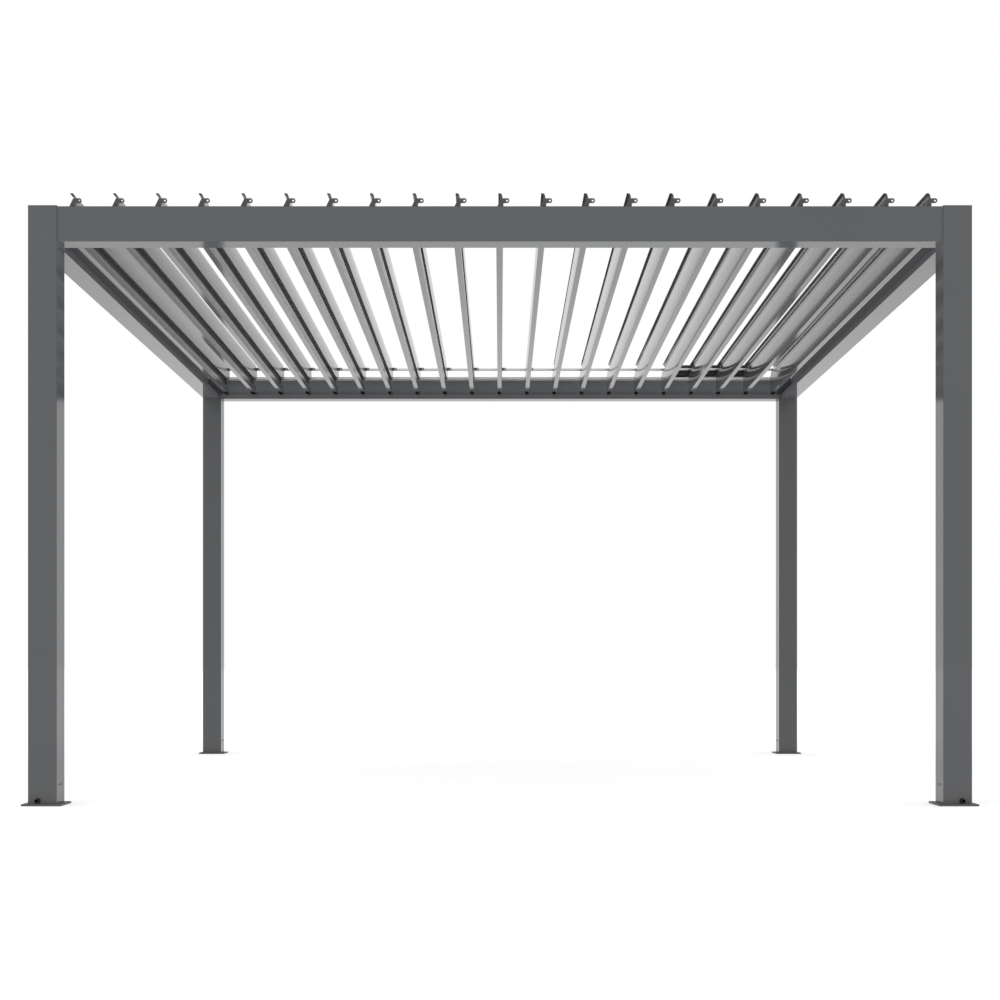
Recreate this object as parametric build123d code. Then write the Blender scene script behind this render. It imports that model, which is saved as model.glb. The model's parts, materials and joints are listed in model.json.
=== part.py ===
"""Louvered pergola: four square posts, four gutter beams and a roof of linked turning louvres.

The origin is on the ground under the middle of the roof. +X is to the right seen from the front, +Y runs
to the back and +Z is up. The louvres stand fully open, which is the rest position. Lengths are in mm.
"""

import os

from build123d import *

# Overall frame
frame_width = 3930.0
frame_depth = 4000.0
post_top = 2497.0

# Posts and their feet
post_side = 120.0
post_wall = 3.0
post_corner_radius = 2.0
foot_side = 165.0
foot_thickness = 8.0
spigot_height = 110.0
spigot_wall = 4.0
spigot_clearance = 0.3
anchor_spacing = 142.0
anchor_hole_radius = 5.5
post_cap_thickness = 3.0
post_cap_plug_depth = 12.0

# Gutter beams, as drawn in section from the outer face inwards
beam_height = 147.0
beam_width = 100.0
beam_setback = 5.0
beam_wall = 2.5
beam_web_width = 30.0
beam_head_width = 80.0
beam_head_height = 14.0
beam_lip_width = 30.0
beam_lip_height = 29.0
gutter_floor = 4.0

# Drain spouts at the feet of the front posts
spout_radius = 9.0
spout_wall = 2.0
spout_reach = 20.0
spout_flange_radius = 12.0
spout_flange_thickness = 3.0
spout_clearance = 0.2
spout_edge_distance = 41.0
spout_height = 21.0

# Louvres
louvre_count = 21
louvre_side_gap = 53.0
louvre_end_gap = 5.0
louvre_wall = 2.0
pivot_height = 10.0

# Louvre section, open, about its pivot: sideways and up
blade_left = -16.0
blade_right = 10.0
blade_bottom = -3.0
channel_bottom = 38.0
channel_top = 83.0
channel_depth = 12.0
face_right = 12.0
face_bulge = 3.0
face_top = 168.0
ridge_left = 5.0
shoulder_left = -11.0
shoulder_bottom = 112.0
shoulder_top = 135.0

# Hook along the louvre's top edge, which laps over the next louvre when closed
hook_left = -7.0
hook_top = 189.0
hook_flat_right = 3.0
hook_bend_right = 8.0
hook_bend_height = 184.0
hook_thickness = 3.5

# Louvre end caps: a plate over the section, and a thicker head that carries the eye
cap_thickness = 4.0
cap_head_bottom = 100.0
cap_head_thickness = 15.0
lug_thickness = 6.0
lug_root = 8.0
lug_top = 167.0
lug_bottom = 143.0
lug_knee_out = 20.0
eye_out = 30.0
eye_up = 158.5
eye_hole_radius = 4.5
eye_outer_radius = 9.75

# Pivots and the saddles that carry them
pivot_radius = 5.0
pivot_clearance = 0.05
pivot_stick_out = 2.0
bearing_gap = 2.0
bearing_thickness = 16.0
bearing_width = 24.0
bearing_rise = 6.0

# Tie rod and its pins through the rear eyes
tie_radius = 8.0
tie_wall = 2.0
tie_gap = 1.0
tie_pin_clearance = 0.1
tie_pin_overhang = 2.0
tie_end_overhang = 20.0

# Louvre drive on the back beam
drive_length = 584.0
drive_depth = 62.0
drive_height = 75.0
drive_post_gap = 118.0
drive_tie_gap = 6.0
drive_foot_height = 9.0
drive_foot_length = 60.0
drive_foot_width = 40.0
drive_foot_inset = 60.0
drive_corner_radius = 8.0

# Places that follow from the sizes above
half_width = frame_width / 2
half_depth = frame_depth / 2
post_x = half_width - post_side / 2
post_y = half_depth - post_side / 2
notch_side = post_side - beam_setback - beam_web_width
beam_bottom = post_top - beam_height
lip_top = beam_bottom + beam_lip_height
pivot_z = lip_top + pivot_height
beam_outer_x = half_width - beam_setback
beam_outer_y = half_depth - beam_setback
lip_inner_x = beam_outer_x - beam_width
lip_inner_y = beam_outer_y - beam_width
louvre_pitch = 2 * (lip_inner_x - louvre_side_gap) / (louvre_count - 1)
louvre_end = lip_inner_y - louvre_end_gap
blade_half_length = louvre_end - cap_thickness
head_end = louvre_end + cap_head_thickness
bearing_start = lip_inner_y + bearing_gap
pivot_end = bearing_start + bearing_thickness + pivot_stick_out
tie_y = head_end + tie_gap + tie_radius
drive_x = half_width - post_side - drive_post_gap - drive_length / 2
drive_y = tie_y + tie_radius + drive_tie_gap + drive_depth / 2


def louvre_x(index):
    """X of a louvre's pivot, counted from 0 at the left."""
    return (index - (louvre_count - 1) / 2) * louvre_pitch


def post_places():
    """The four posts: name, sign along X, sign along Y and turn about Z."""
    return [
        ("front_left", -1, -1, 180),
        ("front_right", 1, -1, 270),
        ("back_left", -1, 1, 90),
        ("back_right", 1, 1, 0),
    ]


def spout_x(side):
    """X of the drain spout on the front post at this side."""
    return side * (half_width - spout_edge_distance)


def spout_holes():
    """Both holes that the drain spouts pass through, from the front."""
    hole = Cylinder(spout_radius + spout_clearance, 2 * post_side / 3)
    left, right = [
        Pos(spout_x(side), -half_depth, spout_height) * Rot(90, 0, 0) * hole
        for side in (-1, 1)
    ]
    return left + right


def notched(plan, margin):
    """A plan of the post less the notch and a margin around it, with the outer corner at +X +Y."""
    notch_middle = (notch_side - post_side) / 2
    cut_side = notch_side + 2 * margin
    return plan - Pos(notch_middle, notch_middle) * Rectangle(cut_side, cut_side)


def make_post(x_sign, y_sign, turn):
    """A hollow post whose inner corner is cut away to let the gutters run through."""
    outer_plan = RectangleRounded(post_side, post_side, post_corner_radius)
    inner_plan = Rectangle(post_side - 2 * post_wall, post_side - 2 * post_wall)
    lower_height = beam_bottom - foot_thickness
    outer = extrude(outer_plan, lower_height)
    outer += Pos(0, 0, lower_height) * extrude(notched(outer_plan, 0), beam_height)
    shelf_height = lower_height - post_wall
    hollow = extrude(inner_plan, shelf_height)
    upper_hollow = extrude(notched(inner_plan, post_wall), beam_height + post_wall)
    hollow += Pos(0, 0, shelf_height) * upper_hollow
    post = Pos(x_sign * post_x, y_sign * post_y, foot_thickness) * Rot(0, 0, turn) * (outer - hollow)
    return post - spout_holes() if y_sign < 0 else post


def make_foot(x_sign, y_sign):
    """A foot plate with four anchor holes and the spigot that the post slides over."""
    plate = Rectangle(foot_side, foot_side)
    holes = GridLocations(anchor_spacing, anchor_spacing, 2, 2) * Circle(anchor_hole_radius)
    spigot_side = post_side - 2 * (post_wall + spigot_clearance)
    spigot_inside = spigot_side - 2 * spigot_wall
    spigot_plan = Rectangle(spigot_side, spigot_side) - Rectangle(spigot_inside, spigot_inside)
    foot = extrude(plate - holes, foot_thickness)
    foot += Pos(0, 0, foot_thickness) * extrude(spigot_plan, spigot_height)
    foot = Pos(x_sign * post_x, y_sign * post_y, 0) * foot
    return foot - spout_holes() if y_sign < 0 else foot


def make_post_cap(x_sign, y_sign, turn):
    """A flat cap over the notched post, with a plug inside it."""
    lid = extrude(notched(RectangleRounded(post_side, post_side, post_corner_radius), 0), post_cap_thickness)
    plug_inset = post_wall + spigot_clearance
    plug_side = post_side - 2 * plug_inset
    plug = extrude(notched(Rectangle(plug_side, plug_side), plug_inset), post_cap_plug_depth)
    cap = lid + Pos(0, 0, -post_cap_plug_depth) * plug
    return Pos(x_sign * post_x, y_sign * post_y, post_top) * Rot(0, 0, turn) * cap


def make_spout(side):
    """A drain spout with its flange against the post's front face."""
    rear = post_wall + spigot_clearance + spigot_wall
    pipe = Pos(0, 0, -rear) * extrude(Circle(spout_radius), rear + spout_reach)
    flange = extrude(Circle(spout_flange_radius), spout_flange_thickness)
    bore = Pos(0, 0, -rear) * extrude(Circle(spout_radius - spout_wall), rear + spout_reach)
    return Pos(spout_x(side), -half_depth, spout_height) * Rot(90, 0, 0) * (pipe + flange - bore)


def web_section(head_width):
    """The beam's web and head in section: u from the outer face inwards, w up."""
    head_bottom = beam_height - beam_head_height
    outline = make_face(
        Polyline(
            (0, 0),
            (beam_web_width, 0),
            (beam_web_width, head_bottom),
            (head_width, head_bottom),
            (head_width, beam_height),
            (0, beam_height),
            close=True,
        )
    )
    return outline - offset(outline, -beam_wall, kind=Kind.INTERSECTION)


def plain_web_section():
    """The web of a beam without a head."""
    outline = Pos(beam_web_width / 2, beam_height / 2) * Rectangle(beam_web_width, beam_height)
    return outline - offset(outline, -beam_wall, kind=Kind.INTERSECTION)


def gutter_section():
    """The gutter's floor and its hollow lip, in the web's coordinates."""
    floor_width = beam_width - beam_web_width
    floor = Pos(beam_web_width + floor_width / 2, gutter_floor / 2) * Rectangle(floor_width, gutter_floor)
    lip_place = Pos(beam_width - beam_lip_width / 2, beam_lip_height / 2)
    lip = lip_place * Rectangle(beam_lip_width, beam_lip_height)
    hollow = lip_place * Rectangle(beam_lip_width - 2 * beam_wall, beam_lip_height - 2 * beam_wall)
    return floor + lip - hollow


def make_beam(section, corner):
    """A gutter beam along X with its outer face at y = 0, mitred inside the posts.

    The corner is the distance from its middle to the crossing beam's outer face.
    """
    web_end = corner + beam_setback - post_side
    web_start = Plane(origin=(-web_end, 0, 0), x_dir=(0, 1, 0), z_dir=(1, 0, 0))
    web = extrude(web_start * section, 2 * web_end)
    gutter_start = Plane(origin=(-corner, 0, 0), x_dir=(0, 1, 0), z_dir=(1, 0, 0))
    gutter = extrude(gutter_start * gutter_section(), 2 * corner)
    mitre = make_face(
        Polyline(
            (beam_web_width - corner, beam_web_width),
            (corner - beam_web_width, beam_web_width),
            (corner - beam_width, beam_width),
            (beam_width - corner, beam_width),
            close=True,
        )
    )
    return web + (gutter & extrude(mitre, beam_height))


def body_outline():
    """The louvre's hollow body in outline, sideways and up from its pivot."""
    channel_left = blade_right - channel_depth
    bulge_middle = (face_right + face_bulge, (channel_top + face_top) / 2)
    face_end = (face_right, face_top)
    lower_right = Polyline(
        (blade_left, blade_bottom),
        (blade_right, blade_bottom),
        (blade_right, channel_bottom),
        (channel_left, channel_bottom),
        (channel_left, channel_top),
        (face_right, channel_top),
    )
    face = ThreePointArc((face_right, channel_top), bulge_middle, face_end)
    upper_left = Polyline(
        face_end,
        (ridge_left, face_top),
        (shoulder_left, shoulder_top),
        (shoulder_left, shoulder_bottom),
        (blade_left, shoulder_bottom),
        (blade_left, blade_bottom),
    )
    return make_face(lower_right + face + upper_left)


def hook_outline():
    """The hook on top of the louvre's body."""
    inner_top = hook_top - hook_thickness
    return make_face(
        Polyline(
            (face_right, face_top),
            (hook_bend_right, hook_bend_height),
            (hook_flat_right, hook_top),
            (hook_left, hook_top),
            (hook_left, inner_top),
            (hook_flat_right - hook_thickness / 2, inner_top),
            (hook_bend_right - hook_thickness, hook_bend_height - hook_thickness / 2),
            (face_right - hook_thickness, face_top),
            close=True,
        )
    )


def blade_section():
    """The extrusion's section: the body with an even wall, and the hook."""
    body = body_outline()
    return body - offset(body, -louvre_wall, kind=Kind.ARC) + hook_outline()


def lug_outline():
    """The lug and its eye, beside the cap's head."""
    arm = make_face(
        Polyline(
            (lug_root, lug_bottom),
            (lug_knee_out, eye_up - eye_outer_radius),
            (eye_out, eye_up - eye_outer_radius),
            (eye_out, eye_up + eye_outer_radius),
            (lug_root, lug_top),
            close=True,
        )
    )
    eye_place = Pos(eye_out, eye_up)
    return arm + eye_place * Circle(eye_outer_radius) - eye_place * Circle(eye_hole_radius)


def section_plane(y):
    """A plane facing the front whose axes are sideways and up, at this Y."""
    return Plane(origin=(0, y, pivot_z), x_dir=(1, 0, 0), z_dir=(0, -1, 0))


def section_block(outline, start, end, side):
    """A louvre outline extruded between two distances from the middle, on this side of it."""
    front = section_plane(max(side * start, side * end))
    return extrude(front * outline, end - start)


def make_blade(x):
    """The louvre's extrusion between its end caps."""
    blade = extrude(section_plane(blade_half_length) * blade_section(), 2 * blade_half_length)
    return Pos(x, 0, 0) * blade


def make_cap(x, side):
    """An end cap with its head, eye and pivot pin, at the front (-1) or the back (1)."""
    outline = body_outline() + hook_outline()
    head_height = hook_top - cap_head_bottom
    head_width = face_right + face_bulge - blade_left
    window_centre = Pos(blade_left + head_width / 2, cap_head_bottom + head_height / 2)
    head_outline = outline & (window_centre * Rectangle(head_width, head_height))
    cap = section_block(outline, blade_half_length, louvre_end, side)
    cap += section_block(head_outline, louvre_end, head_end, side)
    cap += section_block(lug_outline(), head_end - lug_thickness, head_end, side)
    cap += section_block(Circle(pivot_radius), louvre_end, pivot_end, side)
    return Pos(x, 0, 0) * cap


def make_bearing(x, side):
    """A saddle on the beam's lip that a pivot pin drops into."""
    groove_radius = pivot_radius + pivot_clearance
    height = pivot_height + bearing_rise
    block = Pos(0, height / 2 - pivot_height) * Rectangle(bearing_width, height)
    slot = Pos(0, bearing_rise / 2) * Rectangle(2 * groove_radius, bearing_rise)
    saddle = block - slot - Circle(groove_radius)
    bearing = section_block(saddle, bearing_start, bearing_start + bearing_thickness, side)
    return Pos(x, 0, 0) * bearing


def make_tie_rod():
    """The tie rod along the rear eyes, with one pin through each eye."""
    length = louvre_pitch * (louvre_count - 1) + 2 * tie_end_overhang
    tube = Circle(tie_radius) - Circle(tie_radius - tie_wall)
    plane = Plane(origin=(eye_out - length / 2, tie_y, pivot_z + eye_up), z_dir=(1, 0, 0))
    rod = extrude(plane * tube, length)
    pin_outline = Pos(eye_out, eye_up) * Circle(eye_hole_radius - tie_pin_clearance)
    pin_front = head_end - lug_thickness - tie_pin_overhang
    pin_back = tie_y - tie_radius + tie_wall / 2
    pin = section_block(pin_outline, pin_front, pin_back, 1)
    for index in range(louvre_count):
        rod += Pos(louvre_x(index), 0, 0) * pin
    return rod


def make_drive_housing():
    """The drive housing over the back beam, behind the tie rod."""
    body = Box(drive_length, drive_depth, drive_height)
    body = fillet(body.edges().filter_by(Axis.X), drive_corner_radius)
    return Pos(drive_x, drive_y, post_top + drive_foot_height + drive_height / 2) * body


def make_drive_foot(side):
    """A foot that carries the drive housing on the back beam's head."""
    foot = Box(drive_foot_length, drive_foot_width, drive_foot_height)
    foot_x = drive_x + side * (drive_length / 2 - drive_foot_inset)
    return Pos(foot_x, drive_y, post_top + drive_foot_height / 2) * foot


def write(name, *solids):
    """Writes one node, made of one or more solids that don't touch."""
    shape = solids[0] if len(solids) == 1 else Compound(children=list(solids))
    export_step(shape, f"parts/{name}.step")


def main():
    os.makedirs("parts", exist_ok=True)
    places = post_places()
    for name, x_sign, y_sign, turn in places:
        write(f"post_{name}", make_post(x_sign, y_sign, turn))
    write("foot_plates", *[make_foot(x, y) for _, x, y, _ in places])
    write("post_caps", *[make_post_cap(x, y, turn) for _, x, y, turn in places])
    write("drain_spouts", make_spout(-1), make_spout(1))
    end_beam = make_beam(web_section(beam_head_width), beam_outer_x)
    side_beam = make_beam(plain_web_section(), beam_outer_y)
    write("front_beam", Pos(0, -beam_outer_y, beam_bottom) * end_beam)
    write("back_beam", Pos(0, beam_outer_y, beam_bottom) * Rot(0, 0, 180) * end_beam)
    write("left_beam", Pos(-beam_outer_x, 0, beam_bottom) * Rot(0, 0, -90) * side_beam)
    write("right_beam", Pos(beam_outer_x, 0, beam_bottom) * Rot(0, 0, 90) * side_beam)
    columns = [louvre_x(index) for index in range(louvre_count)]
    for number, x in enumerate(columns, start=1):
        write(f"louvre_{number:02d}_blade", make_blade(x))
        write(f"louvre_{number:02d}_end_caps", make_cap(x, -1), make_cap(x, 1))
    write("front_bearings", *[make_bearing(x, -1) for x in columns])
    write("back_bearings", *[make_bearing(x, 1) for x in columns])
    write("tie_rod", make_tie_rod())
    write("drive_housing", make_drive_housing())
    write("drive_feet", make_drive_foot(-1), make_drive_foot(1))


main()
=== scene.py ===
"""Dresses a louvered pergola: coats, end caps, bearings, drive, drains, screws and studio.

Lengths are in metres, in the frame's own axes: +X to the right, +Y to the back and +Z up.
"""

import json
import math

import bpy
from bpy.props import FloatProperty, FloatVectorProperty, PointerProperty
from bpy.types import Operator, Panel, PropertyGroup
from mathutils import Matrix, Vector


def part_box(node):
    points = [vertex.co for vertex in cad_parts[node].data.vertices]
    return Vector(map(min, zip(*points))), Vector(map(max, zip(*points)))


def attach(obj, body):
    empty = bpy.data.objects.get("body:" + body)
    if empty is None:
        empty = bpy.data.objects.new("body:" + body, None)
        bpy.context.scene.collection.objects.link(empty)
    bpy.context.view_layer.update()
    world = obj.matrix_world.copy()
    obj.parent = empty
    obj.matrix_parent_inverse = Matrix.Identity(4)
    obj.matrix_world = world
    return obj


bl_info = {
    "name": "Louvered Pergola Finish",
    "version": (1, 0, 0),
    "blender": (4, 5, 0),
    "location": "View3D > Sidebar > Pergola",
    "description": "Finishes, screws and studio for a louvered pergola",
    "category": "Object",
}

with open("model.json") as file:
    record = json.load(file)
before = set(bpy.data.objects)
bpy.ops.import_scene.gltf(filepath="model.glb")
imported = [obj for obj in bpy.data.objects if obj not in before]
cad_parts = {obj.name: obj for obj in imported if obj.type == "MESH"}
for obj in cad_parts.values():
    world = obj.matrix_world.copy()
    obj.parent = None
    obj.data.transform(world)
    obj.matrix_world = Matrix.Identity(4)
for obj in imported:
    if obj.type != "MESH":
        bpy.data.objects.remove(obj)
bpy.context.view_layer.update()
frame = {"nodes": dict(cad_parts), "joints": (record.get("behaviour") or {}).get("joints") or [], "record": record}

# The body that stands still, and the ground under it
ROOT_BODY = "frame"
GROUND = 0.0

# Socket kinds of the node groups
VALUE = "NodeSocketFloat"
VECTOR = "NodeSocketVector"
COLOUR = "NodeSocketColor"

# Sockets of a mix node that mixes colours
MIX_FIRST = 6
MIX_SECOND = 7
MIX_RESULT = 2

# Directions, and the squeezes that flatten a pattern along an extrusion
ACROSS_X = (1.0, 0.0, 0.0)
ACROSS_Y = (0.0, 1.0, 0.0)
UPWARDS = (0.0, 0.0, 1.0)
ALONG_X = (0.0, 1.0, 1.0)
ALONG_Y = (1.0, 0.0, 1.0)
ALONG_Z = (1.0, 1.0, 0.0)
ALL_ROUND = (1.0, 1.0, 1.0)

# Pattern scales of the finishes
CLOUD_SCALE = 2.2
SMUDGE_SCALE = 9.0
DUST_SCALE = 38.0
DIE_LINE_SCALE = 210.0
FLECK_SCALE = 420.0
DRAWN_LINE_SCALE = 900.0

# Shares of cloud and fleck in a coat's unevenness
CLOUD_SHARE = 0.6
FLECK_SHARE = 0.4

# How far colour and roughness wander
COAT_COLOUR_SPREAD = 0.12
LOUVRE_COLOUR_SPREAD = 0.2
CAP_COLOUR_SPREAD = 0.3
PLASTIC_COLOUR_SPREAD = 0.3
METAL_COLOUR_SPREAD = 0.1
COAT_ROUGHNESS_SPREAD = 0.08
PLASTIC_ROUGHNESS_SPREAD = 0.15
METAL_ROUGHNESS_SPREAD = 0.18

# Grain and line sizes of the finishes
DIE_LINE_DEPTH = 0.000008
LOUVRE_LINE_DEPTH = 0.00001
DRAWN_LINE_DEPTH = 0.00003
RIB_DEPTH = 0.0001
PLASTIC_GRAIN_SIZE = 0.0007
PLASTIC_GRAIN_DEPTH = 0.00004
METAL_GRAIN_SIZE = 0.0009

# Refractive indices of the plastics
PLASTIC_INDEX = 1.46
PAD_INDEX = 1.1

# Painted shade on a louvre's right side: how much darker its foot band and its recessed water channel are painted,
# and what they gain in roughness
FOOT_PAINTED_SHADE = 0.15
CHANNEL_PAINTED_SHADE = 0.5
FOOT_DULLING = 0.1
CHANNEL_DULLING = 0.4

# Painted light on a gutter's inner faces: how much lighter they are painted, and what they gain in roughness
INSIDE_PAINTED_LIGHT = 0.2
WEB_PAINTED_LIGHT = 1.35
INSIDE_DULLING = 0.5

# The foot plates' brightness against the frame's
FOOT_PLATE_SHADE = 0.7

# Margins and reaches of the masks
EDGE = 0.0015
BAND_FADE = 0.0005
FROM_MIDDLE = -1.0
DUST_REACH = 0.16

# Proportions of a screw head, against its radius
HEAD_HEIGHT = 0.55
RIM_WIDTH = 0.28
RIM_RISE = 0.2
DOME_WIDTH = 0.2
DOME_RISE = 0.05
SOCKET_RADIUS = 0.42
SOCKET_LIFT = 1.05
HEAD_SIDES = 24
SOCKET_SIDES = 6

# How upright a face's normal is where it counts as a top
TOP_FACE = 0.9

# Angle up to which faces are shaded as one
SMOOTH_ANGLE = math.radians(35)

# Rounding of the small blocks, against their thinnest side
PAD_ROUNDING = 0.2
PAD_ROUNDING_STEPS = 2
COVER_ROUNDING = 0.4
COVER_ROUNDING_STEPS = 3

# How far a foot pad sinks into its louvre, and the share of its width by which it stands to the left
PAD_SINK = 0.0003
PAD_ASIDE = 0.25

# The camera's sensor in millimetres, and how far it sees
SENSOR_WIDTH = 36.0
SIGHT = 500.0


def length_setting(name, description, default, low, high):
    """A length that a user may change."""
    return FloatProperty(
        name=name,
        description=description,
        subtype="DISTANCE",
        unit="LENGTH",
        min=low,
        max=high,
        default=default,
    )


def share_setting(name, description, default):
    """A share between 0 and 1 that a user may change."""
    return FloatProperty(name=name, description=description, subtype="FACTOR", min=0, max=1, default=default)


def colour_setting(name, description, default):
    """A colour that a user may change."""
    return FloatVectorProperty(
        name=name,
        description=description,
        subtype="COLOR",
        size=3,
        min=0,
        max=1,
        default=default,
    )


class PergolaFinish(PropertyGroup):
    """Colours and gloss of the pergola's finishes."""

    frame_colour: colour_setting("Frame", "Powder coat of the posts and beams", (0.098, 0.101, 0.106))
    louvre_colour: colour_setting("Louvres", "Powder coat of the louvre extrusions", (0.098, 0.101, 0.105))
    cap_colour: colour_setting("End caps", "Coat of the cast end caps", (0.088, 0.090, 0.093))
    # Painted highlight: a pale band along the inner edge of the front and back beams' heads, standing in for light
    # that the edge catches
    head_highlight_colour: colour_setting(
        "Seal", "Pale seal along the inner edge of the front and back beams' heads", (0.80, 0.80, 0.81)
    )
    dust_colour: colour_setting("Dust", "Dust low on the posts and on the foot plates", (0.115, 0.114, 0.111))
    bearing_colour: colour_setting("Bearings", "Plastic of the pivot bearings", (0.012, 0.012, 0.013))
    drain_colour: colour_setting("Drain spouts", "Plastic of the drain spouts", (0.010, 0.010, 0.010))
    drive_colour: colour_setting("Drive", "Housing of the drive", (0.014, 0.014, 0.015))
    cover_colour: colour_setting("Drive covers", "End covers of the drive", (0.020, 0.020, 0.021))
    # The pads' black also serves as painted shade for the dark gap under the louvres' ends
    pad_and_shade_colour: colour_setting("Foot pads", "Pads under the louvres' ends", (0.006, 0.006, 0.006))
    rod_colour: colour_setting("Tie rod", "Plain metal of the tie rod", (0.61, 0.62, 0.63))
    post_screw_colour: colour_setting("Post screws", "Steel of the post screws", (0.30, 0.30, 0.31))
    cap_screw_colour: colour_setting("Cap screws", "Steel of the end caps' screws", (0.10, 0.10, 0.105))
    drive_screw_colour: colour_setting("Drive screws", "Steel of the drive's screws", (0.45, 0.45, 0.46))
    coat_roughness: share_setting("Coat roughness", "How much the frame's coat blurs a reflection", 0.07)
    louvre_roughness: share_setting("Louvre roughness", "How much the louvres blur a reflection", 0.12)
    cap_roughness: share_setting("End cap roughness", "How much the end caps blur a reflection", 0.38)
    foot_roughness: share_setting("Foot plate roughness", "How much the foot plates blur a reflection", 0.5)
    bearing_roughness: share_setting("Bearing roughness", "How much the bearings blur a reflection", 0.5)
    drain_roughness: share_setting("Drain roughness", "How much the drain spouts blur a reflection", 0.42)
    drive_roughness: share_setting("Drive roughness", "How much the drive blurs a reflection", 0.4)
    cover_roughness: share_setting("Cover roughness", "How much the drive's covers blur a reflection", 0.3)
    pad_roughness: share_setting("Pad roughness", "How much the foot pads blur a reflection", 0.9)
    rod_roughness: share_setting("Rod roughness", "How much the tie rod blurs a reflection", 0.32)
    post_screw_roughness: share_setting("Post screw roughness", "How dull the post screws are", 0.35)
    cap_screw_roughness: share_setting("Cap screw roughness", "How dull the end caps' screws are", 0.4)
    drive_screw_roughness: share_setting("Drive screw roughness", "How dull the drive's screws are", 0.3)
    coat_index: FloatProperty(
        name="Coat refractive index",
        description="How strongly the powder coat mirrors its surroundings",
        min=1,
        max=2,
        default=1.25,
    )
    grain_size: length_setting(
        "Coat grain", "Width of one bump of the powder coat's fine texture", 0.0016, low=0.0002, high=0.01
    )
    grain_depth: length_setting(
        "Coat grain depth", "Height of the powder coat's fine texture", 0.000012, low=0, high=0.001
    )


class PergolaFittings(PropertyGroup):
    """Sizes and places of the small fittings."""

    post_screw_radius: length_setting(
        "Post screw head radius", "Radius of the screw heads low on the posts", 0.0042, low=0.002, high=0.02
    )
    post_screw_height: length_setting(
        "Post screw height", "Height of the post screws above the ground", 0.086, low=0.02, high=0.2
    )
    post_screw_spacing: length_setting(
        "Post screw spacing", "Distance between the two screws on a post face", 0.030, low=0.01, high=0.1
    )
    cap_screw_radius: length_setting(
        "Cap screw head radius", "Radius of the screw heads on the end caps", 0.0042, low=0.001, high=0.01
    )
    cap_screw_aside: length_setting(
        "Cap screw sideways place",
        "Distance of the end cap's screw to the right of the louvre's pivot",
        0.0035,
        low=-0.01,
        high=0.01,
    )
    cap_screw_rise: length_setting(
        "Cap screw height", "Height of the end cap's screw above the pivot", 0.138, low=0.12, high=0.15
    )
    pad_length: length_setting(
        "Foot pad length", "Length of the black pad under each end of a louvre", 0.060, low=0.01, high=0.1
    )
    pad_width: length_setting(
        "Foot pad width", "Width of the black pad under each end of a louvre", 0.020, low=0.01, high=0.026
    )
    pad_height: length_setting(
        "Foot pad height", "Height of the black pad under each end of a louvre", 0.0068, low=0.002, high=0.007
    )
    drive_screw_radius: length_setting(
        "Drive screw head radius", "Radius of the screws on the drive's ends", 0.0045, low=0.001, high=0.01
    )
    drive_cover_thickness: length_setting(
        "Drive cover thickness", "Thickness of the covers on the drive's ends", 0.004, low=0.001, high=0.01
    )


class PergolaProfiles(PropertyGroup):
    """Places on the extrusions where the finish changes."""

    channel_bottom: length_setting(
        "Channel bottom", "Height above the pivot where the channel begins", 0.038, low=0.02, high=0.06
    )
    channel_top: length_setting(
        "Channel top", "Height above the pivot where the channel ends", 0.083, low=0.06, high=0.1
    )
    channel_reach: length_setting(
        "Channel reach", "How far the water channel reaches to the left of the pivot", 0.008, low=0, high=0.02
    )
    left_side_bottom: length_setting(
        "Left side bottom", "Height above the pivot where the crown begins", -0.003, low=-0.01, high=0.01
    )
    left_side_top: length_setting(
        "Left side top", "Height above the pivot where the crown ends", 0.112, low=0.05, high=0.15
    )
    left_side_crown: length_setting(
        "Left side crown", "How far a louvre's left side is crowned at its middle", 0.0038, low=0, high=0.01
    )
    rib_spacing: length_setting(
        "Rib spacing", "Distance between the fine ribs on a louvre's foot", 0.0085, low=0.002, high=0.02
    )
    web_width: length_setting(
        "Beam web width", "Width of a gutter beam's hollow web", 0.030, low=0.01, high=0.06
    )
    lip_height: length_setting(
        "Beam lip height", "Height of the lip along a gutter's inner edge", 0.029, low=0.01, high=0.06
    )
    head_height: length_setting(
        "Beam head height", "Height of the head on top of a gutter beam", 0.014, low=0.005, high=0.04
    )


class PergolaStudio(PropertyGroup):
    """Camera and light."""

    camera_distance: length_setting(
        "Camera distance", "Distance from the camera to the middle of the pergola", 8.5855, low=1, high=50
    )
    camera_height: length_setting(
        "Camera height", "Height of the camera above the ground", 0.5846, low=0, high=10
    )
    lens: FloatProperty(
        name="Lens",
        description="Focal length in millimetres on a 36 mm sensor",
        subtype="DISTANCE_CAMERA",
        min=10,
        max=300,
        default=56.97,
    )
    shift_up: FloatProperty(
        name="Upward shift",
        description="Vertical shift that keeps the posts upright",
        min=-1,
        max=1,
        default=0.1654,
    )
    floor_size: length_setting("Floor size", "Side of the pale floor", 400, low=10, high=1000)
    floor_shade: share_setting("Floor shade", "How pale the floor is", 0.8)
    floor_glow: FloatProperty(
        name="Floor glow",
        description="Light that the pale floor gives off itself, as a lit studio floor does",
        min=0,
        max=2,
        default=0.35,
    )
    sky_strength: FloatProperty(
        name="Sky strength",
        description="Strength of the even white surroundings",
        min=0,
        max=10,
        default=1.0,
    )
    key_place: FloatVectorProperty(
        name="Key light place",
        description="Where the soft key light hangs",
        subtype="TRANSLATION",
        unit="LENGTH",
        size=3,
        default=(-3.0, -6.0, 9.0),
    )
    key_width: length_setting("Key light width", "Width of the soft key light", 6.0, low=0.1, high=20)
    key_power: FloatProperty(
        name="Key light power",
        description="Power of the soft key light",
        unit="POWER",
        min=0,
        max=5000,
        default=60.0,
    )


def nodes_of_slot(slot):
    """The construction nodes that take their finish from one material slot."""
    return [part["node"] for part in frame["record"]["subparts"] if part["material_slot"] == slot]


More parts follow.
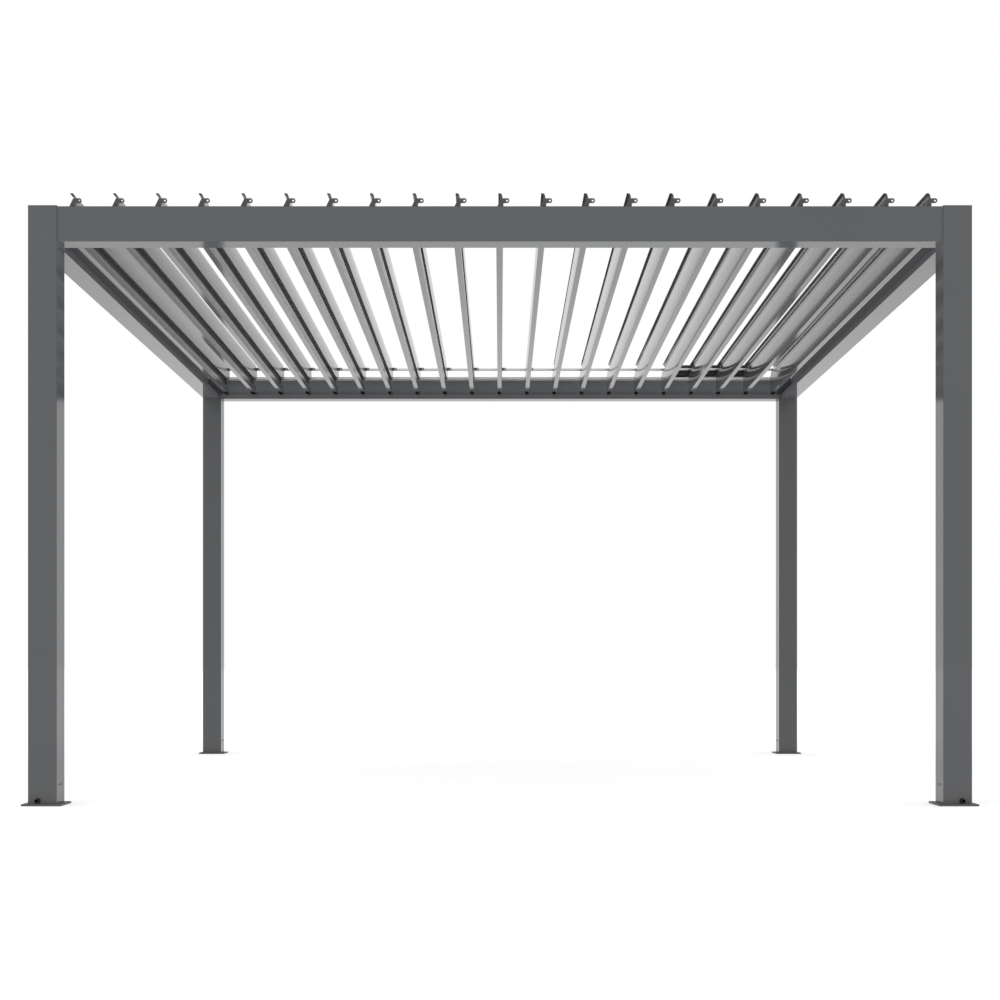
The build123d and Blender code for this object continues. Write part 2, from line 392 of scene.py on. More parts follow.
def pivot_of(body):
    """Where a louvre's pivot lies."""
    return next(joint["pos_m"] for joint in frame["joints"] if joint["child"] == body)


def reach_above(name, height):
    """How far from the middle, along Y, a node reaches above this height."""
    node = frame["nodes"][name]
    corners = [node.matrix_world @ vertex.co for vertex in node.data.vertices]
    return max(abs(corner.y) for corner in corners if corner.z > height)


def new_group(name, inputs, outputs):
    """A shader node group, its sockets given as a kind for each name."""
    group = bpy.data.node_groups.new(name, "ShaderNodeTree")
    for label, kind in inputs.items():
        group.interface.new_socket(label, in_out="INPUT", socket_type=kind)
    for label, kind in outputs.items():
        group.interface.new_socket(label, in_out="OUTPUT", socket_type=kind)
    start = group.nodes.new("NodeGroupInput")
    end = group.nodes.new("NodeGroupOutput")
    return group, start, end


def connect(tree, value, socket):
    """Feeds a socket from another socket, or sets it to a number."""
    if isinstance(value, bpy.types.NodeSocket):
        tree.links.new(value, socket)
    else:
        socket.default_value = value


def math_node(tree, operation, *values):
    """A math node over sockets or numbers."""
    node = tree.nodes.new("ShaderNodeMath")
    node.operation = operation
    for socket, value in zip(node.inputs, values):
        connect(tree, value, socket)
    return node.outputs[0]


def weighted_sum(tree, first, first_share, second, second_share):
    """The sum of two values, each times its share."""
    first_part = math_node(tree, "MULTIPLY", first, first_share)
    second_part = math_node(tree, "MULTIPLY", second, second_share)
    return math_node(tree, "ADD", first_part, second_part)


def clamp_node(tree, value):
    """A value held between 0 and 1."""
    node = tree.nodes.new("ShaderNodeClamp")
    tree.links.new(value, node.inputs["Value"])
    return node.outputs[0]


def scale_node(tree, vector, gain):
    """A vector or colour times a value."""
    node = tree.nodes.new("ShaderNodeVectorMath")
    node.operation = "SCALE"
    tree.links.new(vector, node.inputs[0])
    tree.links.new(gain, node.inputs["Scale"])
    return node.outputs[0]


def noise_node(tree, vector, scale, detail):
    """A noise value over a vector, its scale a socket or a number."""
    node = tree.nodes.new("ShaderNodeTexNoise")
    node.inputs["Detail"].default_value = detail
    tree.links.new(vector, node.inputs["Vector"])
    connect(tree, scale, node.inputs["Scale"])
    return node.outputs["Fac"]


def spread_about(tree, value, middle, spread):
    """middle plus spread times a noise value that lies about one half."""
    centred = math_node(tree, "SUBTRACT", value, 0.5)
    return math_node(tree, "ADD", middle, math_node(tree, "MULTIPLY", centred, spread))


def powder_coat_group():
    """Fine orange-peel grain with faint cloudiness in colour and gloss."""
    group, start, end = new_group(
        "powder_coat",
        {
            "Vector": VECTOR,
            "Colour": COLOUR,
            "Colour Spread": VALUE,
            "Roughness": VALUE,
            "Roughness Spread": VALUE,
            "Grain Size": VALUE,
        },
        {"Colour": COLOUR, "Roughness": VALUE, "Height": VALUE},
    )
    vector = start.outputs["Vector"]
    cloud = noise_node(group, vector, CLOUD_SCALE, detail=3.0)
    fleck = noise_node(group, vector, FLECK_SCALE, detail=1.0)
    smudge = noise_node(group, vector, SMUDGE_SCALE, detail=4.0)
    unevenness = weighted_sum(group, cloud, CLOUD_SHARE, fleck, FLECK_SHARE)
    gain = spread_about(group, unevenness, 1.0, start.outputs["Colour Spread"])
    shade = scale_node(group, start.outputs["Colour"], gain)
    rough = spread_about(group, smudge, start.outputs["Roughness"], start.outputs["Roughness Spread"])
    grain_scale = math_node(group, "DIVIDE", 1.0, start.outputs["Grain Size"])
    grain = noise_node(group, vector, grain_scale, detail=2.0)
    group.links.new(shade, end.inputs["Colour"])
    group.links.new(rough, end.inputs["Roughness"])
    group.links.new(grain, end.inputs["Height"])


def die_lines_group():
    """Faint lines along an extrusion: the vector is squeezed along its length before the noise."""
    group, start, end = new_group(
        "die_lines",
        {"Vector": VECTOR, "Squeeze": VECTOR, "Line Scale": VALUE},
        {"Height": VALUE},
    )
    squeeze = group.nodes.new("ShaderNodeVectorMath")
    squeeze.operation = "MULTIPLY"
    group.links.new(start.outputs["Vector"], squeeze.inputs[0])
    group.links.new(start.outputs["Squeeze"], squeeze.inputs[1])
    lines = noise_node(group, squeeze.outputs[0], start.outputs["Line Scale"], detail=3.0)
    group.links.new(lines, end.inputs["Height"])


def ground_dust_group():
    """A mask that is 1 at the ground and fades out upwards, broken up by noise."""
    group, start, end = new_group("ground_dust", {"Vector": VECTOR, "Reach": VALUE}, {"Mask": VALUE})
    parts = group.nodes.new("ShaderNodeSeparateXYZ")
    group.links.new(start.outputs["Vector"], parts.inputs[0])
    height = math_node(group, "DIVIDE", parts.outputs["Z"], start.outputs["Reach"])
    fade = clamp_node(group, math_node(group, "SUBTRACT", 1.0, height))
    patches = noise_node(group, start.outputs["Vector"], DUST_SCALE, detail=5.0)
    mask = math_node(group, "MULTIPLY", fade, patches)
    group.links.new(mask, end.inputs["Mask"])


def band_group():
    """A mask that is 1 between two distances along one axis and fades at both, and the distance itself."""
    group, start, end = new_group(
        "band",
        {"Vector": VECTOR, "Axis": VECTOR, "Low": VALUE, "High": VALUE, "Fade": VALUE},
        {"Mask": VALUE, "Reach": VALUE},
    )
    along = group.nodes.new("ShaderNodeVectorMath")
    along.operation = "DOT_PRODUCT"
    group.links.new(start.outputs["Vector"], along.inputs[0])
    group.links.new(start.outputs["Axis"], along.inputs[1])
    reach = math_node(group, "ABSOLUTE", along.outputs["Value"])
    edges = []
    for outer, inner in ((reach, start.outputs["Low"]), (start.outputs["High"], reach)):
        distance = math_node(group, "SUBTRACT", outer, inner)
        edges.append(clamp_node(group, math_node(group, "DIVIDE", distance, start.outputs["Fade"])))
    group.links.new(math_node(group, "MULTIPLY", *edges), end.inputs["Mask"])
    group.links.new(reach, end.inputs["Reach"])


class MaterialMaker:
    """One material under way: its tree, its shader and its object coordinates."""

    def __init__(self, name):
        self.material = bpy.data.materials.new(name)
        self.material.use_nodes = True
        self.tree = self.material.node_tree
        self.shader = self.tree.nodes["Principled BSDF"]
        self.vector = self.tree.nodes.new("ShaderNodeTexCoord").outputs["Object"]

    def feed(self, label, source):
        """Links a value to one of the shader's sockets."""
        self.tree.links.new(source, self.shader.inputs[label])

    def fix(self, label, value):
        """Sets a constant on one of the shader's sockets."""
        self.shader.inputs[label].default_value = value

    def group(self, name, **values):
        """Places a node group and sets its inputs; spaces in a socket's name are written as _."""
        node = self.tree.nodes.new("ShaderNodeGroup")
        node.node_tree = bpy.data.node_groups[name]
        self.tree.links.new(self.vector, node.inputs["Vector"])
        for key, value in values.items():
            node.inputs[key.replace("_", " ")].default_value = value
        return node.outputs

    def coat(self, colour, roughness, colour_spread, roughness_spread, grain_size):
        """The colour, roughness and grain height of a coat."""
        return self.group(
            "powder_coat",
            Colour=(*colour, 1.0),
            Colour_Spread=colour_spread,
            Roughness=roughness,
            Roughness_Spread=roughness_spread,
            Grain_Size=grain_size,
        )

    def band(self, low, high, axis=UPWARDS):
        """A mask between two distances along an axis, and the distance itself."""
        return self.group("band", Axis=axis, Low=low, High=high, Fade=BAND_FADE)

    def compute(self, operation, *values):
        """One sum over sockets or numbers."""
        return math_node(self.tree, operation, *values)

    def bump(self, height, distance, normal=None):
        """The normal that a height gives, over an earlier normal if there is one."""
        node = self.tree.nodes.new("ShaderNodeBump")
        node.inputs["Distance"].default_value = distance
        self.tree.links.new(height, node.inputs["Height"])
        if normal is not None:
            self.tree.links.new(normal, node.inputs["Normal"])
        return node.outputs["Normal"]

    def mix(self, mask, first, second):
        """Mixes a colour socket with a fixed colour."""
        node = self.tree.nodes.new("ShaderNodeMix")
        node.data_type = "RGBA"
        self.tree.links.new(mask, node.inputs["Factor"])
        self.tree.links.new(first, node.inputs[MIX_FIRST])
        node.inputs[MIX_SECOND].default_value = (*second, 1.0)
        return node.outputs[MIX_RESULT]

    def finish_coat(self, coat, lines, line_depth, normal=None):
        """Adds die lines and grain to the normal, and the coat's gloss."""
        finish = bpy.context.scene.pergola_finish
        normal = self.bump(lines["Height"], line_depth, normal)
        normal = self.bump(coat["Height"], finish.grain_depth, normal)
        self.feed("Normal", normal)
        self.fix("IOR", finish.coat_index)
        return self.material


def louvre_metal(name, colour, roughness, pivot_height, pitch):
    """Powder coat on a louvre: ribbed foot and water channel on the right, darkened with painted shade, crowned
    side on the left.
    """
    profiles = bpy.context.scene.pergola_profiles
    grain_size = bpy.context.scene.pergola_finish.grain_size
    channel_bottom = pivot_height + profiles.channel_bottom
    channel_top = pivot_height + profiles.channel_top
    maker = MaterialMaker(name)
    coat = maker.coat(colour, roughness, LOUVRE_COLOUR_SPREAD, COAT_ROUGHNESS_SPREAD, grain_size)
    lines = maker.group("die_lines", Squeeze=ALONG_Y, Line_Scale=DIE_LINE_SCALE)
    place = maker.tree.nodes.new("ShaderNodeSeparateXYZ")
    maker.tree.links.new(maker.vector, place.inputs[0])
    from_edge = maker.compute("ADD", place.outputs["X"], pitch / 2)
    across = maker.compute("FLOORED_MODULO", from_edge, pitch)
    right = maker.compute("GREATER_THAN", across, pitch / 2 - profiles.channel_reach)
    left = maker.compute("SUBTRACT", 1.0, right)
    foot = maker.band(pivot_height - EDGE, channel_bottom)
    channel = maker.band(channel_bottom, channel_top)
    foot_mask = maker.compute("MULTIPLY", foot["Mask"], right)
    channel_mask = maker.compute("MULTIPLY", channel["Mask"], right)
    # Painted shade: the foot band and the recessed water channel are painted darker
    painted_shade = weighted_sum(maker.tree, foot_mask, FOOT_PAINTED_SHADE, channel_mask, CHANNEL_PAINTED_SHADE)
    gain = maker.compute("SUBTRACT", 1.0, painted_shade)
    maker.feed("Base Color", scale_node(maker.tree, coat["Colour"], gain))
    dull = weighted_sum(maker.tree, foot_mask, FOOT_DULLING, channel_mask, CHANNEL_DULLING)
    maker.feed("Roughness", maker.compute("ADD", coat["Roughness"], dull))
    half_side = (profiles.left_side_top - profiles.left_side_bottom) / 2
    middle = pivot_height + (profiles.left_side_top + profiles.left_side_bottom) / 2
    rise = maker.compute("DIVIDE", maker.compute("SUBTRACT", place.outputs["Z"], middle), half_side)
    fall = maker.compute("MULTIPLY", rise, rise)
    crown = clamp_node(maker.tree, maker.compute("SUBTRACT", 1.0, fall))
    normal = maker.bump(maker.compute("MULTIPLY", crown, left), profiles.left_side_crown)
    phase = maker.compute("MULTIPLY", foot["Reach"], 2 * math.pi / profiles.rib_spacing)
    ribs = maker.compute("MULTIPLY", maker.compute("SINE", phase), foot_mask)
    normal = maker.bump(ribs, RIB_DEPTH, normal)
    return maker.finish_coat(coat, lines, LOUVRE_LINE_DEPTH, normal)


def gutter_metal(name, colour, roughness, beam, across_axis, with_painted_highlights):
    """Powder coat on a gutter beam, duller inside, with painted light that makes its inner faces lighter; the
    front and back beams also get a more brightly painted web and a pale painted highlight along their heads' inner
    edge.
    """
    finish = bpy.context.scene.pergola_finish
    profiles = bpy.context.scene.pergola_profiles
    low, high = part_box(beam)
    outer_face = high[across_axis.index(1.0)]
    lip_top = low[2] + profiles.lip_height
    head_bottom = high[2] - profiles.head_height
    maker = MaterialMaker(name)
    coat = maker.coat(colour, roughness, COAT_COLOUR_SPREAD, COAT_ROUGHNESS_SPREAD, finish.grain_size)
    lines = maker.group("die_lines", Squeeze=(*across_axis[:2], 1.0), Line_Scale=DIE_LINE_SCALE)
    across = maker.band(FROM_MIDDLE, outer_face - profiles.web_width + EDGE, across_axis)
    upright = maker.band(low[2] + EDGE, high[2] - EDGE)
    inside = maker.compute("MULTIPLY", across["Mask"], upright["Mask"])
    if with_painted_highlights:
        web = maker.band(lip_top, head_bottom - EDGE)
        head = maker.band(head_bottom - EDGE, high[2])
        web_mask = maker.compute("MULTIPLY", inside, web["Mask"])
        head_highlight_mask = maker.compute("MULTIPLY", inside, head["Mask"])
        # Painted light: the inner faces, and the web most, are painted lighter
        gain = weighted_sum(maker.tree, inside, INSIDE_PAINTED_LIGHT, web_mask, WEB_PAINTED_LIGHT)
        shade = scale_node(maker.tree, coat["Colour"], maker.compute("ADD", 1.0, gain))
        # Painted highlight: the pale band along the head's inner edge
        shade = maker.mix(head_highlight_mask, shade, finish.head_highlight_colour)
    else:
        # Painted light: the inner faces are painted lighter
        gain = maker.compute("MULTIPLY", inside, INSIDE_PAINTED_LIGHT)
        shade = scale_node(maker.tree, coat["Colour"], maker.compute("ADD", 1.0, gain))
    maker.feed("Base Color", shade)
    dull = maker.compute("MULTIPLY", inside, INSIDE_DULLING)
    maker.feed("Roughness", maker.compute("ADD", coat["Roughness"], dull))
    return maker.finish_coat(coat, lines, DIE_LINE_DEPTH)


def coated_metal(name, colour, roughness, squeeze, dusty=False, spread=COAT_COLOUR_SPREAD):
    """Powder coat over an extrusion that runs along the axis that squeeze sets to 0."""
    finish = bpy.context.scene.pergola_finish
    maker = MaterialMaker(name)
    coat = maker.coat(colour, roughness, spread, COAT_ROUGHNESS_SPREAD, finish.grain_size)
    lines = maker.group("die_lines", Squeeze=squeeze, Line_Scale=DIE_LINE_SCALE)
    shade = coat["Colour"]
    if dusty:
        dust = maker.group("ground_dust", Reach=DUST_REACH)
        shade = maker.mix(dust["Mask"], shade, finish.dust_colour)
    maker.feed("Base Color", shade)
    maker.feed("Roughness", coat["Roughness"])
    return maker.finish_coat(coat, lines, DIE_LINE_DEPTH)


def moulded_plastic(name, colour, roughness, index=PLASTIC_INDEX):
    """Black moulded plastic with a fine spark-eroded grain."""
    maker = MaterialMaker(name)
    coat = maker.coat(
        colour, roughness, PLASTIC_COLOUR_SPREAD, PLASTIC_ROUGHNESS_SPREAD, PLASTIC_GRAIN_SIZE
    )
    maker.feed("Base Color", coat["Colour"])
    maker.feed("Roughness", coat["Roughness"])
    maker.feed("Normal", maker.bump(coat["Height"], PLASTIC_GRAIN_DEPTH))
    maker.fix("IOR", index)
    return maker.material


def bare_metal(name, colour, roughness, squeeze):
    """Plain metal with drawing lines along its length."""
    maker = MaterialMaker(name)
    coat = maker.coat(colour, roughness, METAL_COLOUR_SPREAD, METAL_ROUGHNESS_SPREAD, METAL_GRAIN_SIZE)
    lines = maker.group("die_lines", Squeeze=squeeze, Line_Scale=DRAWN_LINE_SCALE)
    maker.feed("Base Color", coat["Colour"])
    maker.feed("Roughness", coat["Roughness"])
    maker.feed("Normal", maker.bump(lines["Height"], DRAWN_LINE_DEPTH))
    maker.fix("Metallic", 1.0)
    return maker.material


def paint(slot, material_for):
    """Gives every node of a slot the material that material_for returns for its name."""
    names = nodes_of_slot(slot)
    if not names:
        raise RuntimeError(f"the record has no node with the slot {slot}")
    for name in names:
        node = frame["nodes"][name]
        node.data.materials.clear()
        node.data.materials.append(material_for(name))


def deselect_all():
    """Leaves nothing selected or active."""
    bpy.ops.object.select_all(action="DESELECT")
    bpy.context.view_layer.objects.active = None


def select_only(*pieces):
    """Selects these objects, the first of them active."""
    deselect_all()
    for piece in pieces:
        piece.select_set(True)
    bpy.context.view_layer.objects.active = pieces[0]


def pick_faces(piece, test):
    """In edit mode, selects the faces whose centre and normal pass the test."""
    bpy.ops.object.mode_set(mode="OBJECT")
    for face in piece.data.polygons:
        face.select = test(face.center, face.normal)
    bpy.ops.object.mode_set(mode="EDIT")


def apply_modifiers(piece):
    """Applies the modifiers of a piece in order."""
    select_only(piece)
    for modifier in list(piece.modifiers):
        bpy.ops.object.modifier_apply(modifier=modifier.name)


def apply_place(piece):
    """Moves a piece's place into its mesh."""
    select_only(piece)
    bpy.ops.object.transform_apply(location=True, rotation=True, scale=True)


def model_socket_screw(name, radius):
    """A domed screw head on the XY plane, facing +Z, with a cut socket."""
    height = radius * HEAD_HEIGHT
    deselect_all()
    bpy.ops.mesh.primitive_cylinder_add(
        vertices=HEAD_SIDES, radius=radius, depth=height, location=(0, 0, height / 2)
    )
    head = bpy.context.object
    head.name = name
    bpy.ops.object.mode_set(mode="EDIT")
    bpy.ops.mesh.select_mode(type="FACE")
    pick_faces(head, lambda centre, normal: normal.z > TOP_FACE)
    bpy.ops.mesh.inset(thickness=radius * RIM_WIDTH, depth=radius * RIM_RISE)
    bpy.ops.mesh.inset(thickness=radius * DOME_WIDTH, depth=radius * DOME_RISE)
    bpy.ops.object.mode_set(mode="OBJECT")
    apply_place(head)
    deselect_all()
    bpy.ops.mesh.primitive_cylinder_add(
        vertices=SOCKET_SIDES,
        radius=radius * SOCKET_RADIUS,
        depth=height,
        location=(0, 0, height * SOCKET_LIFT),
    )
    socket = bpy.context.object
    apply_place(socket)
    cut = head.modifiers.new("socket", "BOOLEAN")
    cut.operation = "DIFFERENCE"
    cut.solver = "EXACT"
    cut.object = socket
    apply_modifiers(head)
    bpy.data.objects.remove(socket, do_unlink=True)
    return head


def model_rounded_block(place, size, rounding, steps):
    """A block with rounded edges, its place and size in its mesh."""
    deselect_all()
    bpy.ops.mesh.primitive_cube_add(size=1, location=place)
    block = bpy.context.object
    block.scale = size
    apply_place(block)
    bevel = block.modifiers.new("rounding", "BEVEL")
    bevel.width = rounding
    bevel.segments = steps
    apply_modifiers(block)
    return block


def copy_of(source, location, rotation):
    """A copy with its own mesh at a place, its place applied."""
    select_only(source)
    bpy.ops.object.duplicate(linked=False)
    copy = bpy.context.object
    copy.location = location
    copy.rotation_euler = rotation
    apply_place(copy)
    return copy


def join_pieces(name, pieces):
    """Joins pieces into one mesh with this name."""
    select_only(*pieces)
    if len(pieces) > 1:
        bpy.ops.object.join()
    joined = bpy.context.object
    joined.name = name
    joined.data.name = name
    bpy.ops.object.shade_smooth_by_angle(angle=SMOOTH_ANGLE)
    return joined


class PERGOLA_OT_effects(Operator):
    """Builds the effects that several finishes share"""

    bl_idname = "pergola.effects"
    bl_label = "Shared Effects"

    def execute(self, context):
        powder_coat_group()
        die_lines_group()
        ground_dust_group()
        band_group()
        return {"FINISHED"}


class PERGOLA_OT_paint_frame(Operator):
    """Powder-coats the posts, beams, post caps and foot plates"""

    bl_idname = "pergola.paint_frame"
    bl_label = "Paint Frame"

    def execute(self, context):
        finish = context.scene.pergola_finish
        colour = finish.frame_colour
        rough = finish.coat_roughness
        along_x = gutter_metal("coat_along_x", colour, rough, "back_beam", ACROSS_Y, with_painted_highlights=True)
        along_y = gutter_metal("coat_along_y", colour, rough, "right_beam", ACROSS_X, with_painted_highlights=False)
        along_z = coated_metal("coat_along_z", colour, rough, ALONG_Z, dusty=True)
        cast = coated_metal("coat_flat", colour, rough, ALL_ROUND)
        choice = {
            "front_beam": along_x,
            "back_beam": along_x,
            "left_beam": along_y,
            "right_beam": along_y,
            "post_caps": cast,
        }
        paint("frame_coat", lambda name: choice.get(name, along_z))
        shaded = [FOOT_PLATE_SHADE * part for part in colour]
        feet = coated_metal("coat_feet", shaded, finish.foot_roughness, ALL_ROUND, dusty=True)
        paint("foot_coat", lambda name: feet)
        return {"FINISHED"}


class PERGOLA_OT_paint_louvres(Operator):
    """Coats the louvre extrusions and their end caps"""

    bl_idname = "pergola.paint_louvres"
    bl_label = "Paint Louvres"

    def execute(self, context):
        finish = context.scene.pergola_finish
        pivot = pivot_of("louvre_01")
        pitch = pivot_of("louvre_02")[0] - pivot[0]
        blade = louvre_metal("louvre_coat", finish.louvre_colour, finish.louvre_roughness, pivot[2], pitch)
        cap = coated_metal(
            "cap_coat", finish.cap_colour, finish.cap_roughness, ALL_ROUND, spread=CAP_COLOUR_SPREAD
        )
        paint("louvre_coat", lambda name: blade)
        paint("end_cap_coat", lambda name: cap)
        return {"FINISHED"}


class PERGOLA_OT_paint_fittings(Operator):
    """Finishes the bearings, tie rod, drive and drain spouts"""

    bl_idname = "pergola.paint_fittings"
    bl_label = "Paint Fittings"

    def execute(self, context):
        finish = context.scene.pergola_finish
        bearing = moulded_plastic("bearing_black", finish.bearing_colour, finish.bearing_roughness)
        drain = moulded_plastic("drain_black", finish.drain_colour, finish.drain_roughness)
        drive = moulded_plastic("drive_black", finish.drive_colour, finish.drive_roughness)
        rod = bare_metal("rod_metal", finish.rod_colour, finish.rod_roughness, ALONG_X)
        paint("bearing_plastic", lambda name: bearing)
        paint("drain_plastic", lambda name: drain)
        paint("drive_coat", lambda name: drive)
        paint("tie_rod_metal", lambda name: rod)
        return {"FINISHED"}


class PERGOLA_OT_post_screws(Operator):
    """Adds the pairs of screws low on the posts' inner side faces"""

    bl_idname = "pergola.post_screws"
    bl_label = "Post Screws"

    def execute(self, context):
        sizes = context.scene.pergola_fittings
        finish = context.scene.pergola_finish
        pattern = model_socket_screw("post_screw_pattern", sizes.post_screw_radius)
        screws = []
        for name in nodes_of_slot("frame_coat"):
            if not name.startswith("post_") or name == "post_caps":
                continue
            low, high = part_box(name)
            side = 1 if low[0] < 0 else -1
            face_x = high[0] if side > 0 else low[0]
            middle_y = (low[1] + high[1]) / 2
            for step in (-0.5, 0.5):
                place = (face_x, middle_y + step * sizes.post_screw_spacing, sizes.post_screw_height)
                screws.append(copy_of(pattern, place, (0, side * math.pi / 2, 0)))
        bpy.data.objects.remove(pattern, do_unlink=True)
        piece = join_pieces("post_screws", screws)
        steel = bare_metal("screw_steel", finish.post_screw_colour, finish.post_screw_roughness, ALL_ROUND)
        piece.data.materials.append(steel)
        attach(piece, ROOT_BODY)
        return {"FINISHED"}


class PERGOLA_OT_cap_screws(Operator):
    """Adds the screw that holds each end cap on its louvre"""

    bl_idname = "pergola.cap_screws"
    bl_label = "End Cap Screws"

    def execute(self, context):
        sizes = context.scene.pergola_fittings
        finish = context.scene.pergola_finish
        pattern = model_socket_screw("cap_screw_pattern", sizes.cap_screw_radius)
        steel = bare_metal(
            "cap_screw_steel", finish.cap_screw_colour, finish.cap_screw_roughness, ALL_ROUND
        )
        for name in nodes_of_slot("end_cap_coat"):
            body = name.removesuffix("_end_caps")
            pivot = pivot_of(body)
            place_x = pivot[0] + sizes.cap_screw_aside
            place_z = pivot[2] + sizes.cap_screw_rise
            face_y = reach_above(name, place_z)
            front = copy_of(pattern, (place_x, -face_y, place_z), (math.pi / 2, 0, 0))
            back = copy_of(pattern, (place_x, face_y, place_z), (-math.pi / 2, 0, 0))
            piece = join_pieces(f"{body}_cap_screws", [front, back])
            piece.data.materials.append(steel)
            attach(piece, body)
        bpy.data.objects.remove(pattern, do_unlink=True)
        return {"FINISHED"}


class PERGOLA_OT_foot_pads(Operator):
    """Adds the black pad under each end of every louvre; it also stands in as painted shade for the dark gap above
    the beam's lip
    """

    bl_idname = "pergola.foot_pads"
    bl_label = "Louvre Foot Pads"

    def execute(self, context):
        sizes = context.scene.pergola_fittings
        finish = context.scene.pergola_finish
        pad_size = (sizes.pad_width, sizes.pad_length, sizes.pad_height)
        rounding = sizes.pad_height * PAD_ROUNDING
        # Painted shade in part: the black pads also darken the gap under each louvre end
        black = moulded_plastic("pad_black", finish.pad_and_shade_colour, finish.pad_roughness, index=PAD_INDEX)
        for name in nodes_of_slot("louvre_coat"):
            body = name.removesuffix("_blade")
            low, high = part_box(name)
            place_x = pivot_of(body)[0] - sizes.pad_width * PAD_ASIDE
            place_z = low[2] - sizes.pad_height / 2 + PAD_SINK
            pads = []
            for side in (-1, 1):
                place = (place_x, side * (high[1] - sizes.pad_length / 2), place_z)
                pads.append(model_rounded_block(place, pad_size, rounding, PAD_ROUNDING_STEPS))
            piece = join_pieces(f"{body}_foot_pads", pads)
            piece.data.materials.append(black)
            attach(piece, body)
        return {"FINISHED"}


class PERGOLA_OT_drive_covers(Operator):
    """Adds the drive housing's end covers and their screws"""

    bl_idname = "pergola.drive_covers"
    bl_label = "Drive End Covers"

    def execute(self, context):
        sizes = context.scene.pergola_fittings
        finish = context.scene.pergola_finish
        thickness = sizes.drive_cover_thickness
        low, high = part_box("drive_housing")
        middle_y = (low[1] + high[1]) / 2
        middle_z = (low[2] + high[2]) / 2
        inset = 2 * thickness
        cover_size = (thickness, high[1] - low[1] - inset, high[2] - low[2] - inset)
        rounding = thickness * COVER_ROUNDING
        covers = []
        for end_x, side in ((low[0], -1), (high[0], 1)):
            place = (end_x + side * thickness / 2, middle_y, middle_z)
            covers.append(model_rounded_block(place, cover_size, rounding, COVER_ROUNDING_STEPS))
        piece = join_pieces("drive_end_covers", covers)
        black = moulded_plastic("drive_cover_black", finish.cover_colour, finish.cover_roughness)
        piece.data.materials.append(black)
        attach(piece, ROOT_BODY)
        pattern = model_socket_screw("drive_screw_pattern", sizes.drive_screw_radius)
        margin = inset + 2 * sizes.drive_screw_radius
        screws = []
        for face_x, side in ((low[0] - thickness, -1), (high[0] + thickness, 1)):
            for place_y in (low[1] + margin, high[1] - margin):
                for place_z in (low[2] + margin, high[2] - margin):
                    place = (face_x, place_y, place_z)
                    screws.append(copy_of(pattern, place, (0, side * math.pi / 2, 0)))
        bpy.data.objects.remove(pattern, do_unlink=True)
        piece = join_pieces("drive_screws", screws)
        steel = bare_metal(
            "drive_screw_steel", finish.drive_screw_colour, finish.drive_screw_roughness, ALL_ROUND
        )
        piece.data.materials.append(steel)
        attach(piece, ROOT_BODY)
        return {"FINISHED"}


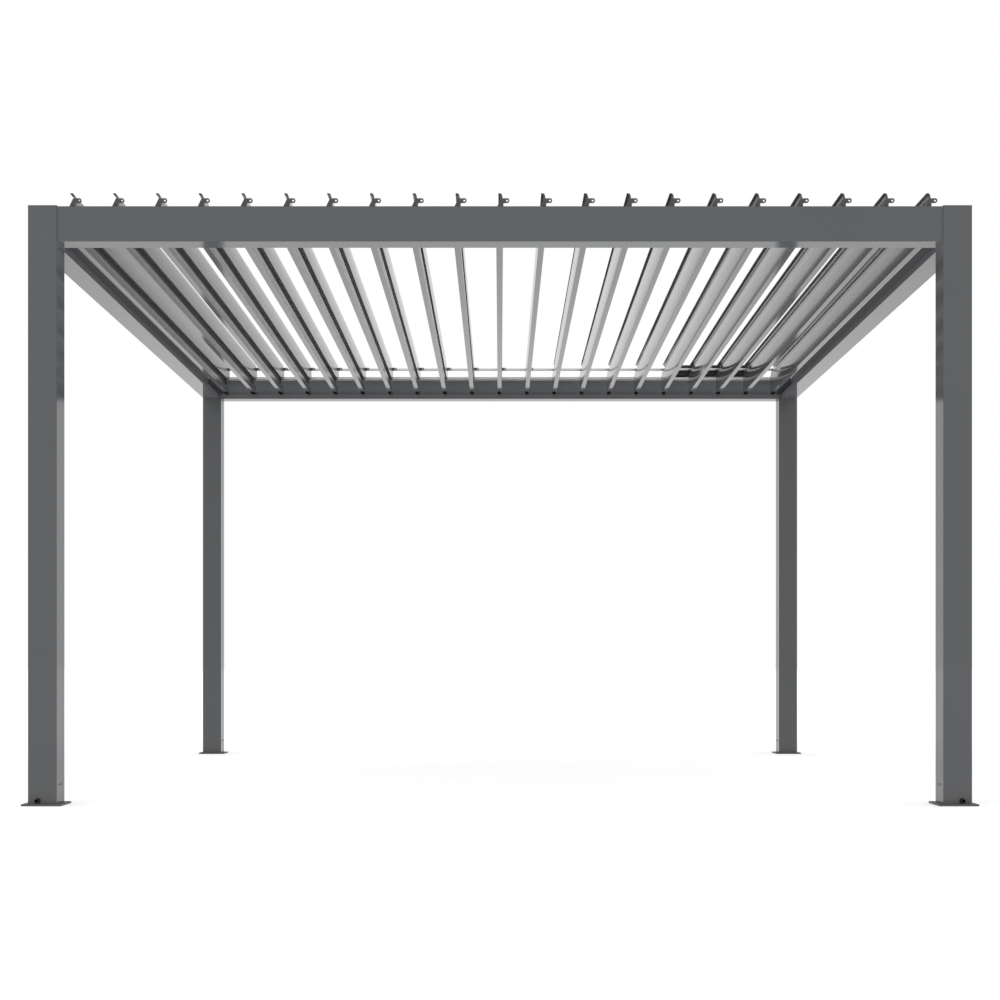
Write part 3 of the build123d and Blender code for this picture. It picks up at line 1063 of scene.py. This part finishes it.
class PERGOLA_OT_studio(Operator):
    """Adds the pale floor, the soft light and the camera"""

    bl_idname = "pergola.studio"
    bl_label = "Studio"

    def execute(self, context):
        studio = context.scene.pergola_studio
        deselect_all()
        bpy.ops.mesh.primitive_plane_add(size=studio.floor_size, location=(0, 0, GROUND))
        floor = bpy.context.object
        floor.name = "floor"
        maker = MaterialMaker("pale_floor")
        maker.fix("Base Color", (studio.floor_shade, studio.floor_shade, studio.floor_shade, 1.0))
        maker.fix("Roughness", 1.0)
        maker.fix("Specular IOR Level", 0.0)
        maker.fix("Emission Color", (1.0, 1.0, 1.0, 1.0))
        maker.fix("Emission Strength", studio.floor_glow)
        floor.data.materials.append(maker.material)
        world = bpy.data.worlds.new("white_room")
        world.use_nodes = True
        sky = world.node_tree.nodes["Background"]
        sky.inputs["Color"].default_value = (1.0, 1.0, 1.0, 1.0)
        sky.inputs["Strength"].default_value = studio.sky_strength
        context.scene.world = world
        deselect_all()
        bpy.ops.object.light_add(type="AREA", location=studio.key_place)
        key = bpy.context.object
        key.name = "soft_key"
        key.data.shape = "DISK"
        key.data.size = studio.key_width
        key.data.energy = studio.key_power
        key.rotation_euler = (-key.location).to_track_quat("-Z", "Y").to_euler()
        deselect_all()
        bpy.ops.object.camera_add(location=(0, -studio.camera_distance, studio.camera_height))
        camera = bpy.context.object
        camera.name = "photo_camera"
        camera.rotation_euler = (math.pi / 2, 0, 0)
        camera.data.lens = studio.lens
        camera.data.sensor_width = SENSOR_WIDTH
        camera.data.shift_y = studio.shift_up
        camera.data.clip_end = SIGHT
        context.scene.camera = camera
        context.scene.view_settings.view_transform = "Standard"
        return {"FINISHED"}


STEPS = (
    PERGOLA_OT_effects,
    PERGOLA_OT_paint_frame,
    PERGOLA_OT_paint_louvres,
    PERGOLA_OT_paint_fittings,
    PERGOLA_OT_post_screws,
    PERGOLA_OT_cap_screws,
    PERGOLA_OT_foot_pads,
    PERGOLA_OT_drive_covers,
    PERGOLA_OT_studio,
)


class PERGOLA_PT_sidebar(Panel):
    """Lists the steps in order"""

    bl_idname = "PERGOLA_PT_sidebar"
    bl_label = "Louvered Pergola"
    bl_space_type = "VIEW_3D"
    bl_region_type = "UI"
    bl_category = "Pergola"

    def draw(self, context):
        for step in STEPS:
            self.layout.operator(step.bl_idname)


SETTINGS = {
    "pergola_finish": PergolaFinish,
    "pergola_fittings": PergolaFittings,
    "pergola_profiles": PergolaProfiles,
    "pergola_studio": PergolaStudio,
}


def register():
    for settings in SETTINGS.values():
        bpy.utils.register_class(settings)
    for step in STEPS:
        bpy.utils.register_class(step)
    bpy.utils.register_class(PERGOLA_PT_sidebar)
    for name, settings in SETTINGS.items():
        setattr(bpy.types.Scene, name, PointerProperty(type=settings))


def unregister():
    for name in SETTINGS:
        delattr(bpy.types.Scene, name)
    bpy.utils.unregister_class(PERGOLA_PT_sidebar)
    for step in reversed(STEPS):
        bpy.utils.unregister_class(step)
    for settings in SETTINGS.values():
        bpy.utils.unregister_class(settings)


def run_step(step):
    """Calls one operator through bpy.ops."""
    group, name = step.bl_idname.split(".")
    getattr(getattr(bpy.ops, group), name)()


def main():
    register()
    for step in STEPS:
        run_step(step)
    deselect_all()


if __name__ == "__main__":
    main()
